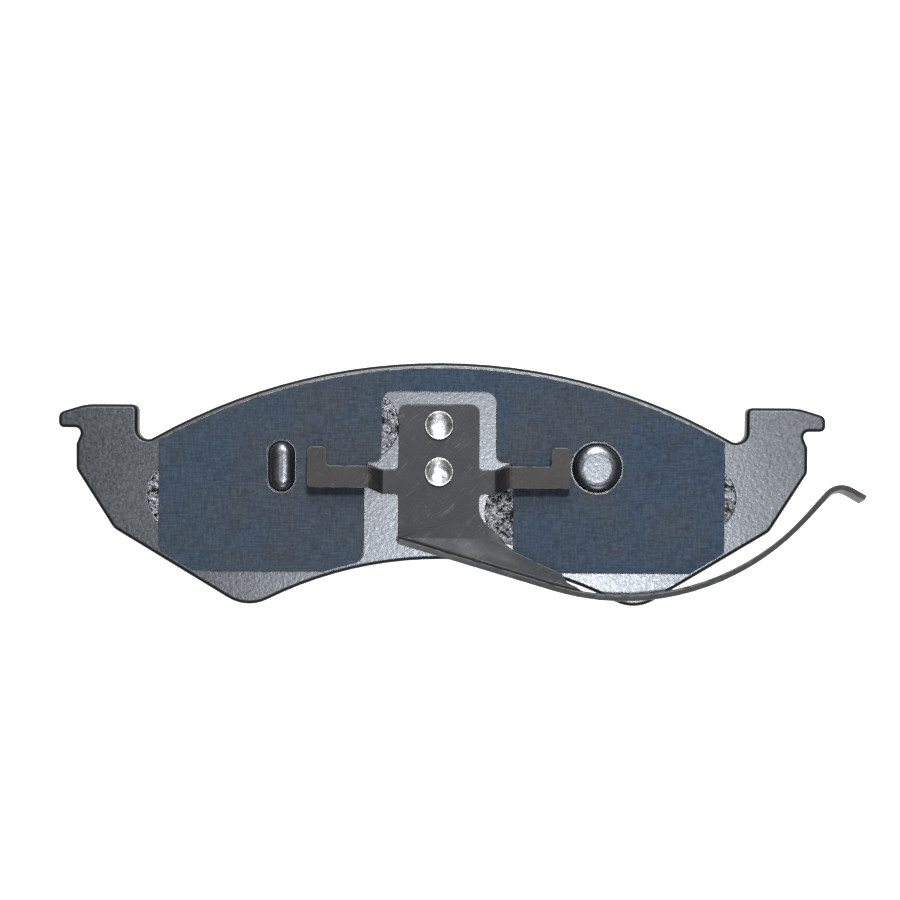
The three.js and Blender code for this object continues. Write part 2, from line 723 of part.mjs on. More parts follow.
const paint = () => material(0x3a3e45, 0.4, 0.3);
const springSteel = () => material(0x4a4b4b, 0.5, 0.8);
const zinc = () => material(0xc9ccd0, 0.3, 1);
const rubber = () => material(0x3d4b5e, 0.75, 0);

function piece(name, solid, look, x = 0, y = 0) {
  const mesh = new THREE.Mesh(toGeometry(solid), look);
  mesh.name = name;
  mesh.position.set(x, y, 0);
  return mesh;
}

const pad = new THREE.Group();
pad.add(
  piece('friction_block', frictionBlock(), material(0x4b4743, 0.95, 0.1)),
  piece('underlayer', underlayer(), material(0x2b2a2a, 0.95, 0)),
  piece('bond_film', bondFilm(), material(0x6b4a2a, 0.6, 0)),
  piece('backing_plate', backingPlate(), paint()),
);

const shim = new THREE.Group();
shim.add(
  piece('shim_adhesive', shimLayer(plateTop, innerRubberBottom), material(0xb8a878, 0.6, 0)),
  piece('shim_inner_rubber', shimLayer(innerRubberBottom, coreBottom), rubber()),
  piece('shim_core', shimLayer(coreBottom, outerRubberBottom), material(0x9a9da1, 0.35, 1)),
  piece('shim_outer_rubber', shimLayer(outerRubberBottom, shimTop), rubber()),
);

const clip = new THREE.Group();
clip.position.set(CLIP_OFFSET, clipY, 0);
clip.add(
  piece('clip_plate', clipPlate(), springSteel()),
  piece('clip_arm_left', clipArm(-1), springSteel()),
  piece('clip_arm_right', clipArm(1), springSteel()),
  piece('clip_leg', clipLeg(), springSteel()),
);

const rivets = new THREE.Group();
rivets.add(
  piece('rivet_upper', rivet(), zinc(), rivetPlaces[0].x, rivetPlaces[0].y),
  piece('rivet_lower', rivet(), zinc(), rivetPlaces[1].x, rivetPlaces[1].y),
);

const group = new THREE.Group();
group.add(pad, shim, clip, rivets);

export default group;
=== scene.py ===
import math

import bmesh
import bpy
from mathutils import Matrix, Vector, noise
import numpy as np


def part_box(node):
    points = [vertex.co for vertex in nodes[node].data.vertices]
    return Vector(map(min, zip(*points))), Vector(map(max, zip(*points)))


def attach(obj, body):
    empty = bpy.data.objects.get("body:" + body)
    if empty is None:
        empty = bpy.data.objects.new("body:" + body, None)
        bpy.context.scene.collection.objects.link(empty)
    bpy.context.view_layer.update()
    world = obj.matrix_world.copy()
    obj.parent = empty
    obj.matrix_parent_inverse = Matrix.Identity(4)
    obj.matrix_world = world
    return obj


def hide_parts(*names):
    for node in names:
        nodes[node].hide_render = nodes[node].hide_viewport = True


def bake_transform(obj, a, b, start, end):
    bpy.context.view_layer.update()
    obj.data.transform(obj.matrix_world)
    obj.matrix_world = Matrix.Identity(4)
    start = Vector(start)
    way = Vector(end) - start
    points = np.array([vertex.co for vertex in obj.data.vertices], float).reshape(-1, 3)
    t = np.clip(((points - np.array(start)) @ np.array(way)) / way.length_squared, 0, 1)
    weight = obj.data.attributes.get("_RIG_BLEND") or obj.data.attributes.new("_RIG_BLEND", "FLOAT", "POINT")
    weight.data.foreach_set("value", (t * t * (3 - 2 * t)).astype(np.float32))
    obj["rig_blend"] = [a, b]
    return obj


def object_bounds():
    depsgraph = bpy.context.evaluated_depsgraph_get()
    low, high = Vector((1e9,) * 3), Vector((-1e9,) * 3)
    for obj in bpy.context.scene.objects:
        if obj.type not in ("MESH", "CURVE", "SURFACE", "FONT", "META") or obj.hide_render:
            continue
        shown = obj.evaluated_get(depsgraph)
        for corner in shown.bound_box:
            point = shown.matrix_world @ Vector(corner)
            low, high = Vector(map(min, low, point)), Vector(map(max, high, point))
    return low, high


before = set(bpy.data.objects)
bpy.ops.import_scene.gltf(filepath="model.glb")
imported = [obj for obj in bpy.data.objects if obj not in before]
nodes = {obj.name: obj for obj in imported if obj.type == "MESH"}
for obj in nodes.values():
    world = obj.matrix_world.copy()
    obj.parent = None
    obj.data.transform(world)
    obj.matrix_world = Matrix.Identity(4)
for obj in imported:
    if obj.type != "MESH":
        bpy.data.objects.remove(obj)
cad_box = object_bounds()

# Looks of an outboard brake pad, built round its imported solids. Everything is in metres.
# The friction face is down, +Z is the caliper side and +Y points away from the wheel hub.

MM = 0.001
EDGE_MARK = "edge_mark"
SLACK = 0.02 * MM  # how closely a height has to agree
MERGE = 0.002 * MM  # vertices this close are one
SEAM_SLACK = 0.005 * MM
CUT_SLACK = 0.001 * MM

# ---------- heights and places read from the solids ----------
plate_low, plate_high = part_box("backing_plate")
film_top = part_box("bond_film")[1].z
plug_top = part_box("underlayer")[1].z
rubber_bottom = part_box("shim_outer_rubber")[0].z
leg_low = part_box("clip_leg")[0]
rivet_low, rivet_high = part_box("rivet_upper")
CLIP_MIDDLE = (rivet_low.x + rivet_high.x) / 2
PLATE_THICKNESS = 5.5 * MM
PLATE_BACK = film_top + PLATE_THICKNESS  # the plate's flat back face, under the shim

# ---------- edges and rounding ----------
DIE_ROLL = 1.0 * MM  # where the press pulled the plate's rim down
HOLE_ROLL = 0.45 * MM
BOSS_FILLET = 0.4 * MM
DOME = 0.6 * MM  # how far the rim of a boss's top lies under its middle
DOME_RINGS = 3
DOME_STEP = 0.45 * MM
SHEET_ROLL = 0.2 * MM  # rounding of the clip's sheared edges
CUT_EDGE = 0.14 * MM  # rubbed-down steel at the shim's edges
RUBBER_BACK = 0.14 * MM  # rubber stops this far inside the steel's edge
LINING_EDGE = 0.35 * MM
BEND_OUTER = 1.3 * MM  # flange bend
BEND_INNER = 0.8 * MM

# ---------- compound in the keying holes ----------
KEY_HOLE_RADIUS = 8.4 * MM
CRUST_GAP = 0.12 * MM
SMEAR = 0.9 * MM  # the crust reaches this far over the rim of its hole
CRUST_ROUGHNESS = 0.55 * MM
CRUST_RINGS = 34
CRUST_SPOKES = 150
GRAIN_SPACING = 0.55 * MM

# ---------- clip ----------
ARM_CUT = 2.0 * MM  # arm parts from the sheet this far outside its sides
FLEX_GAP = 0.3 * MM  # gap between the solids at a flexure, which the looks close
FLEX_STEP = 0.6 * MM  # spacing of the cuts that let the sheet bend
ARM_CUTS = 13
LEG_CUTS = 25
ARM_BLEND_LEAD = 1.5 * MM
ARM_BLEND = 4.5 * MM
LEG_CUT = 2.5 * MM  # leg parts from the flange this far before the flexure
LEG_BLEND = 12 * MM
LEG_BLEND_LEAD = 0.5 * MM
CLIP_HALF = 10 * MM
ARM_FLEX = 5.2 * MM  # flexure from the clip's side


# ---------- mesh helpers ----------


def cad_mesh(*names):
    """A merged copy of some CAD nodes with flat regions dissolved into single faces."""
    bm = bmesh.new()
    bm.verts.layers.float.new(EDGE_MARK)
    for name in names:
        bm.from_mesh(nodes[name].data)
    bmesh.ops.remove_doubles(bm, verts=bm.verts, dist=MERGE)
    bmesh.ops.dissolve_limit(
        bm, angle_limit=math.radians(0.5), verts=bm.verts, edges=bm.edges
    )
    bm.normal_update()
    return bm


def place(bm, name, finish, smooth=True):
    """Turns a bmesh into an object at the origin."""
    bm.normal_update()
    mesh = bpy.data.meshes.new(name)
    bm.to_mesh(mesh)
    bm.free()
    for face in mesh.polygons:
        face.use_smooth = smooth
    mesh.materials.append(finish)
    piece = bpy.data.objects.new(name, mesh)
    bpy.context.scene.collection.objects.link(piece)
    return piece


def settle(piece):
    """Replaces a piece's mesh with what its modifiers make of it."""
    graph = bpy.context.evaluated_depsgraph_get()
    mesh = bpy.data.meshes.new_from_object(piece.evaluated_get(graph))
    piece.modifiers.clear()
    piece.data = mesh
    return piece


def even_normals(piece):
    """Keeps large flat faces flat beside their rounded edges, and seams between pieces sharp."""
    weigh = piece.modifiers.new("normals", "WEIGHTED_NORMAL")
    weigh.weight = 100
    weigh.keep_sharp = True
    return settle(piece)


def sharpen_seam(bm, x):
    """Marks the edges of a flat end at X, where one piece of the clip butts against another."""
    for edge in bm.edges:
        if all(abs(v.co.x - x) < SEAM_SLACK for v in edge.verts):
            edge.smooth = False


def bevel(bm, edges, width, segments):
    """Rounds edges and gives back the vertices that lie inside the rounding."""
    if edges:
        made = bmesh.ops.bevel(
            bm,
            geom=edges,
            offset=width,
            offset_type="OFFSET",
            segments=segments,
            profile=0.5,
            affect="EDGES",
            clamp_overlap=False,
        )
        bm.normal_update()
        rounding = set(made["faces"])
        return [v for v in made["verts"] if all(f in rounding for f in v.link_faces)]
    return []


def mark(bm, vertices, value_of):
    """Writes a value at vertices, which a finish reads to paint shade on an edge, or to wear it and paint a
    highlight on it.
    """
    layer = bm.verts.layers.float[EDGE_MARK]
    for vertex in vertices:
        vertex[layer] = value_of(vertex)


def at_height(edge, height, slack=SLACK):
    return all(abs(v.co.z - height) < slack for v in edge.verts)


def is_corner(edge, degrees=40):
    return len(edge.link_faces) == 2 and edge.calc_face_angle(0) > math.radians(degrees)


def near(edge, centre, radius, slack=0.3 * MM):
    return all(abs((v.co.xy - Vector(centre)).length - radius) < slack for v in edge.verts)


def finish_piece(piece, body, slot, *replaced):
    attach(piece, body)
    if replaced:
        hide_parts(*replaced)
    return piece


# ---------- shader helpers ----------


class Wire:
    """A socket whose arithmetic in Python adds Math nodes."""

    def __init__(self, finish, socket):
        self.finish = finish
        self.socket = socket

    def _math(self, operation, first, second):
        values = {0: first, 1: second}
        return self.finish.node("ShaderNodeMath", {"operation": operation}, values)

    def __add__(self, other):
        return self._math("ADD", self, other)

    def __sub__(self, other):
        return self._math("SUBTRACT", self, other)

    def __rsub__(self, other):
        return self._math("SUBTRACT", other, self)

    def __mul__(self, other):
        return self._math("MULTIPLY", self, other)

    __radd__ = __add__
    __rmul__ = __mul__


class Finish:
    """A node material. It reads Object coordinates, in metres."""

    def __init__(self, name):
        self.material = bpy.data.materials.new(name)
        self.material.use_nodes = True
        self.tree = self.material.node_tree
        self.tree.nodes.clear()
        self.place = self.node("ShaderNodeTexCoord", output="Object")

    def node(self, kind, settings=None, values=None, output=0):
        """Adds a node: its settings first, then the values or links of its sockets."""
        made = self.tree.nodes.new(kind)
        for name, value in (settings or {}).items():
            setattr(made, name, value)
        for name, value in (values or {}).items():
            if isinstance(value, Wire):
                self.tree.links.new(value.socket, made.inputs[name])
            else:
                made.inputs[name].default_value = value
        return None if output is None else Wire(self, made.outputs[output])

    def stretched(self, scale, turn=0.0):
        """Object coordinates scaled along X, Y and Z after a turn about Z, in degrees."""
        values = {
            "Vector": self.place,
            "Rotation": (0, 0, math.radians(turn)),
            "Scale": tuple(1 / s for s in scale),
        }
        return self.node("ShaderNodeMapping", {"vector_type": "TEXTURE"}, values)

    def edge(self):
        """The value that mark() wrote at the vertices."""
        settings = {"attribute_type": "GEOMETRY", "attribute_name": EDGE_MARK}
        return self.node("ShaderNodeAttribute", settings, output="Fac")

    def noise(self, size, detail=2.0, roughness=0.5, where=None, distortion=0.0):
        """Noise whose features are about this size, in metres, unless it has its own coordinates."""
        values = {
            "Vector": where or self.place,
            "Scale": 1 / size,
            "Detail": detail,
            "Roughness": roughness,
            "Distortion": distortion,
        }
        return self.node("ShaderNodeTexNoise", None, values)

    def cells(self, size, feature="F1", output="Distance"):
        values = {"Vector": self.place, "Scale": 1 / size}
        return self.node("ShaderNodeTexVoronoi", {"feature": feature}, values, output)

    def ramp(self, value, low, high, to_low=0.0, to_high=1.0):
        """Maps low..high onto to_low..to_high, held at the ends."""
        values = {"Value": value, 1: low, 2: high, 3: to_low, 4: to_high}
        return self.node("ShaderNodeMapRange", {"clamp": True}, values)

    def blend(self, share, first, second):
        """Mixes two colours."""
        values = {0: share, 6: self._colour(first), 7: self._colour(second)}
        return self.node("ShaderNodeMix", {"data_type": "RGBA"}, values, 2)

    def _colour(self, colour):
        return colour if isinstance(colour, Wire) else (*colour, 1)

    def bump(self, height, depth, strength):
        values = {"Height": height, "Distance": depth, "Strength": strength}
        return self.node("ShaderNodeBump", None, values)

    def surface(self, colour, roughness, normal=None, **constants):
        """Ends the material in a Principled shader."""
        values = {"Base Color": self._colour(colour), "Roughness": roughness}
        if normal:
            values["Normal"] = normal
        values.update({name.replace("_", " "): value for name, value in constants.items()})
        shader = self.node("ShaderNodeBsdfPrincipled", None, values)
        self.node("ShaderNodeOutputMaterial", None, {"Surface": shader}, None)
        return self.material


# ---------- finishes ----------


def plate_paint():
    """Semi-gloss metallic powder coat with an orange-peel skin, with painted shade on the sheared rim and
    the bosses' sides, which are also rougher.
    """
    f = Finish("plate_powder_coat")
    peel = f.noise(0.7 * MM, 3, 0.6, distortion=0.5)
    pimples = f.cells(0.9 * MM, "SMOOTH_F1")
    cloud = f.noise(14 * MM, 3)
    colour = f.blend(cloud, (0.138, 0.149, 0.166), (0.18, 0.192, 0.211))
    specks = f.ramp(f.noise(0.55 * MM, 3, 0.7), 0.56, 0.7)
    colour = f.blend(specks * 0.45, colour, (0.05, 0.054, 0.06))
    # painted shade: darkens the sheared rim and the lower sides of the bosses, standing in for dark
    # reflections and the shade in the gaps
    colour = f.blend(f.edge(), colour, (0.02, 0.021, 0.023))
    roughness = f.ramp(peel, 0.3, 0.7, 0.23, 0.33) + f.edge() * 0.3
    skin = f.bump(peel + pimples * 0.5, 0.085 * MM, 0.3)
    return f.surface(colour, roughness, skin, Metallic=0.95)


def painted_compound():
    """Rough compound that filled the holes, with paint on its high spots."""
    f = Finish("painted_compound")
    rubble = f.noise(0.7 * MM, 5, 0.7)
    pits = f.cells(0.8 * MM)
    high = f.ramp(f.noise(1.5 * MM, 5, 0.7), 0.43, 0.5)
    colour = f.blend(high, (0.012, 0.012, 0.013), (0.21, 0.222, 0.243))
    skin = f.bump(rubble - pits * 0.5, 0.2 * MM, 0.8)
    return f.surface(colour, f.ramp(rubble, 0.3, 0.7, 0.25, 0.5), skin, Metallic=0.85)


def shim_rubber():
    """Slate-blue rubber coating, printed by the cloth it was rolled against."""
    f = Finish("shim_rubber")
    warp = f.noise(1, 3, 0.65, f.stretched((2300, 240, 1)))
    weft = f.noise(1, 3, 0.65, f.stretched((240, 2300, 1)))
    weave = warp * 0.5 + weft * 0.5
    patch = f.noise(30 * MM, 4, 0.6)
    worn = f.noise(9 * MM, 5, 0.7)
    grit = f.noise(0.8 * MM, 3, 0.7)
    base = f.blend(f.ramp(patch, 0.4, 0.6), (0.033, 0.041, 0.052), (0.022, 0.047, 0.088))
    base = f.blend(f.ramp(worn, 0.45, 0.7, 0, 0.6), base, (0.034, 0.035, 0.038))
    colour = f.blend(f.ramp(weave, 0.42, 0.6, 0, 0.55), base, (0.075, 0.111, 0.156))
    colour = f.blend(f.ramp(grit, 0.5, 0.7, 0, 0.7), colour, (0.018, 0.023, 0.03))
    skin = f.bump(weave + grit * 0.5, 0.03 * MM, 0.6)
    return f.surface(colour, f.ramp(patch, 0.3, 0.7, 0.62, 0.78), skin, Specular_IOR_Level=0.3)


def shim_steel():
    f = Finish("shim_steel")
    grain = f.noise(1, 3, 0.6, f.stretched((700, 700, 2600)))
    colour = f.blend(f.ramp(grain, 0.35, 0.65), (0.12, 0.125, 0.13), (0.5, 0.5, 0.5))
    skin = f.bump(grain, 0.03 * MM, 0.6)
    return f.surface(colour, f.ramp(grain, 0.3, 0.7, 0.34, 0.55), skin, Metallic=1.0)


def scratches(f, size, turn, share):
    """Thin straight scratches that run one way, in patches of their own."""
    line = f.noise(1, 2, 0.5, f.stretched((1 / size, 0.045 / size, 1), turn))
    spread = 1 / (4.5 * MM)
    patch = f.noise(1, 2, 0.5, f.stretched((spread, spread, spread), 5 * turn))
    return f.ramp(line, share, share + 0.06) * f.ramp(patch, 0.53, 0.6)


def clip_steel():
    """Oil-blackened spring steel, scuffed in handling and browner along the arms; its edges are worn bright,
    partly as a painted highlight.
    """
    f = Finish("clip_steel")
    apart = f.node("ShaderNodeSeparateXYZ", None, {"Vector": f.place})
    off = f.node("ShaderNodeMath", {"operation": "ABSOLUTE"}, {0: apart - CLIP_MIDDLE})
    arm = f.ramp(off, 12 * MM, 19 * MM)
    height = f.node("ShaderNodeSeparateXYZ", None, {"Vector": f.place}, "Y")
    arm = arm * f.ramp(height, -6 * MM, -3 * MM)
    cloud = f.noise(6 * MM, 4, 0.6)
    grit = f.noise(0.45 * MM, 4, 0.75)
    cool = f.blend(cloud, (0.0195, 0.0215, 0.0248), (0.036, 0.039, 0.044))
    brown = f.blend(cloud, (0.024, 0.0225, 0.0222), (0.042, 0.039, 0.038))
    colour = f.blend(arm, cool, brown)
    colour = f.blend(f.ramp(grit, 0.54, 0.74, 0, 0.5), colour, (0.1, 0.099, 0.097))
    marks = scratches(f, 0.26 * MM, -38, 0.6) + scratches(f, 0.3 * MM, -55, 0.62)
    colour = f.blend(f.ramp(marks, 0, 1, 0, 0.32), colour, (0.24, 0.235, 0.225))
    # partly real edge wear, partly a painted highlight: bright metal on the rounded edges stands in for the
    # light they catch
    worn = f.edge() * f.ramp(f.noise(2.6 * MM, 3), 0.36, 0.5)
    colour = f.blend(worn, colour, (0.3, 0.295, 0.285))
    metal = f.ramp(worn, 0, 1, 0.3, 0.95)
    skin = f.bump(grit + marks * 0.4, 0.03 * MM, 0.5)
    return f.surface(colour, f.ramp(cloud, 0.3, 0.7, 0.44, 0.58), skin, Metallic=metal)


def rivet_zinc():
    """Bright zinc with handling marks, and dark patches painted in for the dark reflection seen in the dish.
    """
    f = Finish("rivet_zinc")
    marks = f.noise(0.6 * MM, 4, 0.65)
    # painted reflection: dark noise patches standing in for the dish's dark reflection
    painted_dark_reflection = f.ramp(f.noise(1.9 * MM, 3, 0.6), 0.55, 0.66)
    colour = f.blend(marks, (0.7, 0.71, 0.73), (0.9, 0.91, 0.92))
    colour = f.blend(painted_dark_reflection * 0.6, colour, (0.16, 0.16, 0.165))
    skin = f.bump(marks, 0.12 * MM, 0.5)
    return f.surface(colour, f.ramp(marks, 0.3, 0.7, 0.3, 0.44), skin, Metallic=1.0)


def friction_compound():
    """Semi-metallic compound: resin and graphite with steel, copper and mineral bits."""
    f = Finish("friction_compound")
    body = f.noise(3 * MM, 5, 0.7)
    colour = f.blend(body, (0.045, 0.042, 0.04), (0.11, 0.102, 0.096))
    bits = f.cells(0.9 * MM, output="Color")
    pick = f.node("ShaderNodeSeparateColor", None, {"Color": bits})
    edge = f.cells(0.9 * MM)
    small = f.ramp(edge, 0.28, 0.36, 1, 0)
    steel = f.ramp(pick, 0.83, 0.86) * small
    copper = f.ramp(pick, 0.1, 0.13, 1, 0) * small
    colour = f.blend(steel, colour, (0.5, 0.5, 0.5))
    colour = f.blend(copper * 0.8, colour, (0.42, 0.2, 0.09))
    pits = f.ramp(f.noise(0.9 * MM, 4, 0.7), 0.58, 0.68)
    colour = f.blend(pits, colour, (0.015, 0.014, 0.013))
    metal = f.ramp(steel + copper, 0, 1, 0, 0.9)
    skin = f.bump(body * 0.6 - pits, 0.14 * MM, 0.8)
    return f.surface(colour, f.ramp(body, 0.3, 0.7, 0.7, 0.9), skin, Metallic=metal)


def underlayer_compound():
    f = Finish("underlayer_compound")
    body = f.noise(1.2 * MM, 5, 0.7)
    fibres = f.noise(1, 2, 0.5, f.stretched((2400, 300, 900), 25))
    colour = f.blend(body, (0.018, 0.017, 0.016), (0.05, 0.047, 0.044))
    colour = f.blend(f.ramp(fibres, 0.62, 0.7), colour, (0.17, 0.15, 0.1))
    skin = f.bump(body + fibres * 0.4, 0.16 * MM, 0.8)
    return f.surface(colour, f.ramp(body, 0.3, 0.7, 0.75, 0.95), skin)


def bond_adhesive():
    f = Finish("bond_adhesive")
    body = f.noise(1.5 * MM, 3)
    colour = f.blend(body, (0.14, 0.07, 0.028), (0.26, 0.15, 0.07))
    return f.surface(colour, f.ramp(body, 0.3, 0.7, 0.3, 0.5), f.bump(body, 0.05 * MM, 0.5))


def film_adhesive():
    f = Finish("shim_film")
    body = f.noise(2 * MM, 3)
    colour = f.blend(body, (0.42, 0.36, 0.22), (0.56, 0.5, 0.33))
    return f.surface(colour, f.ramp(body, 0.3, 0.7, 0.4, 0.6), f.bump(body, 0.02 * MM, 0.4))


PAINT = plate_paint()
COMPOUND = painted_compound()
RUBBER = shim_rubber()
SHIM_STEEL = shim_steel()
SPRING_STEEL = clip_steel()
ZINC = rivet_zinc()
LINING = friction_compound()
UNDERLAYER = underlayer_compound()
ADHESIVE = bond_adhesive()
FILM = film_adhesive()


# ---------- camera ----------
CAMERA_HEIGHT = 0.65  # above the shim
VIEW_WIDTH = 0.2227
AIM = Vector((0.002, 0.0084))
ROLL = 0.35  # degrees
SENSOR = 36


def make_camera():
    data = bpy.data.cameras.new("camera")
    data.sensor_width = SENSOR
    data.lens = SENSOR * CAMERA_HEIGHT / VIEW_WIDTH
    data.clip_start = 0.01
    camera = bpy.data.objects.new("camera", data)
    camera.location = (AIM.x, AIM.y, PLATE_BACK + CAMERA_HEIGHT)
    camera.rotation_euler = (0, 0, math.radians(ROLL))
    bpy.context.scene.collection.objects.link(camera)
    bpy.context.scene.camera = camera


make_camera()


# ---------- backing plate ----------


def key_hole_centres():
    """Middles of the four keying holes, from the plugs that fill them."""
    bm = cad_mesh("underlayer")
    tops = [f for f in bm.faces if abs(f.calc_center_median().z - plug_top) < SLACK]
    centres = []
    for face in tops:
        spot = face.calc_center_bounds().xy
        if all((spot - known).length > KEY_HOLE_RADIUS for known in centres):
            centres.append(spot.copy())
    bm.free()
    return centres


KEY_HOLES = key_hole_centres()


def make_plate():
    bm = cad_mesh("backing_plate")
    rims = [e for e in bm.edges if at_height(e, PLATE_BACK) and is_corner(e)]
    feet = [e for e in rims if not e.is_convex]
    outline = [e for e in rims if e.is_convex and on_outer_wall(e) and not at_key_hole(e)]
    bevel(bm, outline, DIE_ROLL, 4)
    bevel(bm, [e for e in feet if e.is_valid], BOSS_FILLET, 2)
    rims = [e for e in bm.edges if at_height(e, PLATE_BACK) and is_corner(e) and e.is_convex]
    bevel(bm, [e for e in rims if at_key_hole(e)], HOLE_ROLL, 3)
    dome_bosses(bm)
    # each vertex's mark sets how much painted shade the finish puts there
    mark(bm, bm.verts, painted_rim_shade)
    plate = place(bm, "painted_backing_plate", PAINT)
    even_normals(plate)
    finish_piece(plate, "pad", "plate_paint", "backing_plate")


def at_key_hole(edge):
    return any(near(edge, centre, KEY_HOLE_RADIUS) for centre in KEY_HOLES)


def dome_bosses(bm):
    """Rounds the flat tops of the pressed bosses into shallow domes."""
    summit = plate_high.z - SLACK
    tops = [f for f in bm.faces if f.normal.z > 0.9 and f.calc_center_median().z > summit]
    for top in tops:
        centre = top.calc_center_bounds().xy
        for _ in range(DOME_RINGS):
            bmesh.ops.inset_region(bm, faces=[top], thickness=DOME_STEP, use_even_offset=True)
        raised = [v for v in bm.verts if v.co.z > PLATE_BACK + 0.05 * MM]
        raised = [v for v in raised if (v.co.xy - centre).length < KEY_HOLE_RADIUS]
        half_width = max(abs(v.co.x - centre.x) for v in raised)
        straight = max(abs(v.co.y - centre.y) for v in raised) - half_width
        for vertex in raised:
            along = max(0, abs(vertex.co.y - centre.y) - straight)
            out = math.hypot(vertex.co.x - centre.x, along) / half_width
            share = (vertex.co.z - PLATE_BACK) / (plate_high.z - PLATE_BACK)
            vertex.co.z -= DOME * min(out, 1) ** 2 * share


def painted_rim_shade(vertex):
    """How much painted shade: 1 on the plate's sheared rim and on the bosses' sides, 0 on the flats and
    domes.
    """
    above = vertex.co.z - PLATE_BACK
    if above > SLACK:
        height = plate_high.z - PLATE_BACK
        return 0.9 - 0.9 * max(0, min(1, (above / height - 0.5) / 0.25))
    if any((vertex.co.xy - c).length < KEY_HOLE_RADIUS + HOLE_ROLL for c in KEY_HOLES):
        return 0
    return max(0, min(1, -above / (0.08 * MM)))


def on_outer_wall(edge):
    """True on the plate's outer outline, where the wall runs the plate's whole thickness."""
    for face in edge.link_faces:
        if abs(face.normal.z) < 0.1:
            lowest = min(v.co.z for v in face.verts)
            return lowest < plate_low.z + SLACK and not in_rivet_hole(edge)
    return False


def in_rivet_hole(edge):
    middle = (edge.verts[0].co + edge.verts[1].co) / 2
    for name in ("rivet_upper", "rivet_lower"):
        low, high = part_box(name)
        if (middle.xy - ((low + high) / 2).xy).length < (high.x - low.x) / 2:
            return True
    return False


make_plate()


# ---------- friction material ----------


def make_lining():
    bm = cad_mesh("friction_block")
    bevel(bm, [e for e in bm.edges if is_corner(e, 15) and e.is_convex], LINING_EDGE, 2)
    lining = place(bm, "friction_lining", LINING)
    even_normals(lining)
    finish_piece(lining, "pad", "friction_compound", "friction_block")


def make_underlayer():
    layer = place(cad_mesh("underlayer"), "insulating_underlayer", UNDERLAYER)
    even_normals(layer)
    finish_piece(layer, "pad", "underlayer_compound", "underlayer")


def crust(centre):
    """Craggy top of the compound in one keying hole, smeared over the hole's rim in places."""
    bm = bmesh.new()
    radius = KEY_HOLE_RADIUS + SMEAR
    bottom = plug_top - 0.05 * MM
    rings = []
    for ring in range(1, CRUST_RINGS + 1):
        r = radius * ring / CRUST_RINGS
        row = []
        for spoke in range(CRUST_SPOKES):
            angle = 2 * math.pi * spoke / CRUST_SPOKES
            x = centre.x + r * math.cos(angle)
            y = centre.y + r * math.sin(angle)
            row.append(bm.verts.new((x, y, crust_height(x, y, r))))
        rings.append(row)
    inset = (KEY_HOLE_RADIUS - CRUST_GAP) / radius
    foot = []
    for v in rings[-1]:
        spot = centre + (v.co.xy - centre) * inset
        foot.append(bm.verts.new((spot.x, spot.y, bottom)))
    top = bm.verts.new((centre.x, centre.y, crust_height(centre.x, centre.y, 0)))
    for i in range(CRUST_SPOKES):
        j = (i + 1) % CRUST_SPOKES
        bm.faces.new((top, rings[0][i], rings[0][j]))
        for inner, outer in zip(rings, rings[1:]):
            bm.faces.new((inner[i], outer[i], outer[j], inner[j]))
        bm.faces.new((rings[-1][i], foot[i], foot[j], rings[-1][j]))
    bm.faces.new(list(reversed(foot)))
    return bm


def crust_height(x, y, r):
    """Height of the crust at a spot that lies r from the middle of its hole."""
    spot = Vector((x, y, 0)) / MM
    coarse = noise.noise(spot * 0.8)
    lumps = noise.noise(spot * 2.1 + Vector((7, 3, 1)))
    crags = noise.noise(spot * 4.6 + Vector((2, 9, 4)))
    lift = 0.5 + 0.45 * coarse + 0.35 * lumps + 0.22 * crags
    inside = plug_top + 0.06 * MM + CRUST_ROUGHNESS * max(0, min(1, lift))
    smeared = PLATE_BACK - 0.06 * MM + 0.3 * MM * (lumps + 0.6 * crags)
    share = max(0, min(1, (r - KEY_HOLE_RADIUS + 1.2 * MM) / (1.2 * MM)))
    fade = max(0, (r - KEY_HOLE_RADIUS) / SMEAR)
    return inside + (smeared - inside) * share - 0.16 * MM * fade


def new_tree(name, inputs, result):
    """A geometry node tree with named inputs, and the calls that add its nodes and links."""
    tree = bpy.data.node_groups.new(name, "GeometryNodeTree")
    for label, kind in inputs.items():
        tree.interface.new_socket(label, in_out="INPUT", socket_type="NodeSocket" + kind)
    tree.interface.new_socket(result, in_out="OUTPUT", socket_type="NodeSocketGeometry")

    def node(kind, **settings):
        made = tree.nodes.new(kind)
        for label, value in settings.items():
            setattr(made, label, value)
        return made

    return tree, node, tree.links.new


